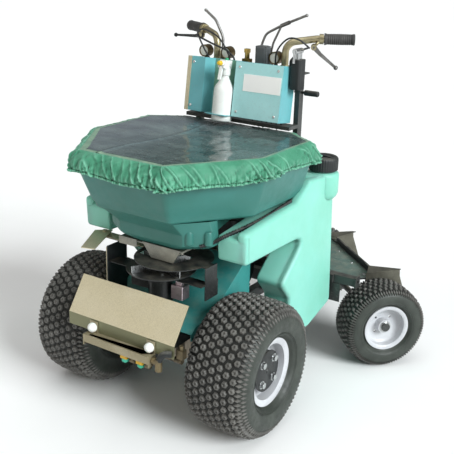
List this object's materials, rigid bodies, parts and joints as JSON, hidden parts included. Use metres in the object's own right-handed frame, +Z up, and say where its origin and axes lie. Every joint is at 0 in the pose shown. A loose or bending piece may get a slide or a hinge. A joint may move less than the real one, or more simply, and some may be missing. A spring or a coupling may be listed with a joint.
{
  "type": "ride-on turf spreader-sprayer",
  "caption": "Stand-on turf spreader-sprayer: covered hopper over a spinner, saddle spray tank, flotation tyres, handlebar console and a pivoting trolley.",
  "frame": {"origin": "on the ground, directly under the middle of the drive axle", "axes": "+X the machine's left, +Y its rear, +Z up; the trolley is stored turned 42 degrees clockwise seen from above"},
  "size_m": [1.1068, 1.6328, 1.347],
  "materials": {
    "frame_steel": "satin",
    "galvanised": "satin",
    "cast_case": "matt",
    "black_paint": "satin",
    "black_plastic": "matt",
    "teal_paint": "satin",
    "white_plastic": "gloss",
    "yellow_plastic": "gloss",
    "green_plastic": "gloss",
    "tank_poly": "satin",
    "hopper_poly": "satin",
    "cover_fabric": "woven",
    "bright_steel": "bright",
    "bar_metal": "satin",
    "brass_fittings": "satin",
    "grip_rubber": "matt",
    "tyre_rubber": "matt",
    "rim_paint": "satin",
    "deck_surface": "gloss"
  },
  "bodies": {
    "chassis": {"main_frame": "frame_steel", "rear_crossbar": "galvanised", "transaxle": "cast_case", "engine_block": "cast_case", "recoil_cover": "black_paint", "muffler": "black_paint", "fuel_tank": "black_plastic", "cowl": "teal_paint", "front_plate": "galvanised", "boom_bracket": "galvanised", "boom_cap_nuts": "white_plastic", "boom_pipe": "black_plastic", "spray_nozzles": "yellow_plastic", "nozzle_caps": "green_plastic", "sprayer_tank": "tank_poly", "hopper": "hopper_poly", "hopper_cover": "cover_fabric", "outlet_plate": "galvanised", "spinner_frame": "frame_steel", "spinner_motor": "black_paint", "terminal_box": "bright_steel", "console_panel": "teal_paint", "label_plate": "white_plastic", "spray_bottle": "white_plastic", "bottle_head": "white_plastic", "console_frame": "frame_steel", "wand_holster": "black_plastic", "spray_gun": "bright_steel", "handlebar": "bar_metal", "grip_left": "grip_rubber", "grip_right": "grip_rubber", "lever_brackets": "bright_steel", "gauges": "brass_fittings", "valve_block": "brass_fittings", "control_cables": "grip_rubber"},
    "fill_cap": {"tank_cap": "black_plastic"},
    "gate": {"shutter": "galvanised"},
    "spinner": {"spinner_disc": "black_paint", "spinner_shaft": "bright_steel"},
    "deflector": {"side_deflector": "galvanised"},
    "trigger": {"bottle_trigger": "white_plastic"},
    "pull_knob": {"pull_handle": "black_plastic"},
    "brake_left": {"brake_lever_left": "bright_steel"},
    "brake_right": {"brake_lever_right": "black_paint"},
    "gate_control": {"gate_lever": "bright_steel"},
    "speed_control": {"speed_lever": "bright_steel"},
    "drive_wheel_left": {"front_tyre_left": "tyre_rubber", "front_rim_left": "rim_paint", "front_hub_left": "bright_steel"},
    "drive_wheel_right": {"front_tyre_right": "tyre_rubber", "front_rim_right": "rim_paint", "front_hub_right": "bright_steel"},
    "trolley": {"trolley_frame": "frame_steel", "foot_deck": "deck_surface", "deck_bumper": "grip_rubber", "trolley_sides": "galvanised"},
    "trolley_wheel_left": {"rear_tyre_left": "tyre_rubber", "rear_rim_left": "rim_paint"},
    "trolley_wheel_right": {"rear_tyre_right": "tyre_rubber", "rear_rim_right": "rim_paint"}
  },
  "joints": [
    {"name": "trolley_steer", "type": "hinge", "parent": "chassis", "child": "trolley", "pos_m": [0, 0.657, 0.29], "axis": [0, 0, 1], "range_deg": [-3, 87]},
    {"name": "drive_left_spin", "type": "hinge", "parent": "chassis", "child": "drive_wheel_left", "pos_m": [0.329, 0, 0.235], "axis": [1, 0, 0], "continuous": true},
    {"name": "drive_right_spin", "type": "hinge", "parent": "chassis", "child": "drive_wheel_right", "pos_m": [-0.329, 0, 0.235], "axis": [1, 0, 0], "continuous": true},
    {"name": "trolley_left_spin", "type": "hinge", "parent": "trolley", "child": "trolley_wheel_left", "pos_m": [0.50159, 0.7194, 0.167], "axis": [0.7431, -0.6691, 0], "continuous": true},
    {"name": "trolley_right_spin", "type": "hinge", "parent": "trolley", "child": "trolley_wheel_right", "pos_m": [0.00963, 1.16236, 0.167], "axis": [0.7431, -0.6691, 0], "continuous": true},
    {"name": "spinner_spin", "type": "hinge", "parent": "chassis", "child": "spinner", "pos_m": [0.036, -0.095, 0.545], "axis": [0, 0, 1], "continuous": true},
    {"name": "gate_lever_pivot", "type": "hinge", "parent": "chassis", "child": "gate_control", "pos_m": [-0.143, 0.512, 1.168], "axis": [-1, 0, 0], "range_deg": [0, 30]},
    {"name": "shutter_slide", "type": "slide", "parent": "chassis", "child": "gate", "axis": [0, 1, 0], "range_m": [0, 0.05]},
    {"name": "speed_lever_pivot", "type": "hinge", "parent": "chassis", "child": "speed_control", "pos_m": [0.043, 0.512, 1.168], "axis": [-1, 0, 0], "range_deg": [0, 30]},
    {"name": "deflector_swing", "type": "hinge", "parent": "chassis", "child": "deflector", "pos_m": [-0.262, -0.038, 0.59], "axis": [0, 0, 1], "range_deg": [-35, 10]},
    {"name": "cap_turn", "type": "hinge", "parent": "chassis", "child": "fill_cap", "pos_m": [0.304, 0.522, 0.82], "axis": [0, 0, 1], "range_deg": [0, 450]},
    {"name": "pull_slide", "type": "slide", "parent": "chassis", "child": "pull_knob", "axis": [1, 0, 0], "range_m": [0, 0.02]},
    {"name": "trigger_pivot", "type": "hinge", "parent": "chassis", "child": "trigger", "pos_m": [-0.036, 0.34387, 1.1573], "axis": [1, 0, 0], "range_deg": [0, 12], "stiffness_Nm_per_rad": 0.2, "springref_deg": -5.73},
    {"name": "brake_left_pivot", "type": "hinge", "parent": "chassis", "child": "brake_left", "pos_m": [0.24, 0.512, 1.236], "axis": [0.4587, -0.8824, -0.1047], "range_deg": [0, 30], "stiffness_Nm_per_rad": 1.2, "springref_deg": -11.46},
    {"name": "brake_right_pivot", "type": "hinge", "parent": "chassis", "child": "brake_right", "pos_m": [-0.246, 0.512, 1.24], "axis": [0.2902, 0.9536, -0.0801], "range_deg": [0, 10], "stiffness_Nm_per_rad": 1.2, "springref_deg": -11.46}
  ],
  "couplings": [
    {"joint": "shutter_slide", "follows": "gate_lever_pivot", "m_per_rad": 0.0954}
  ]
}
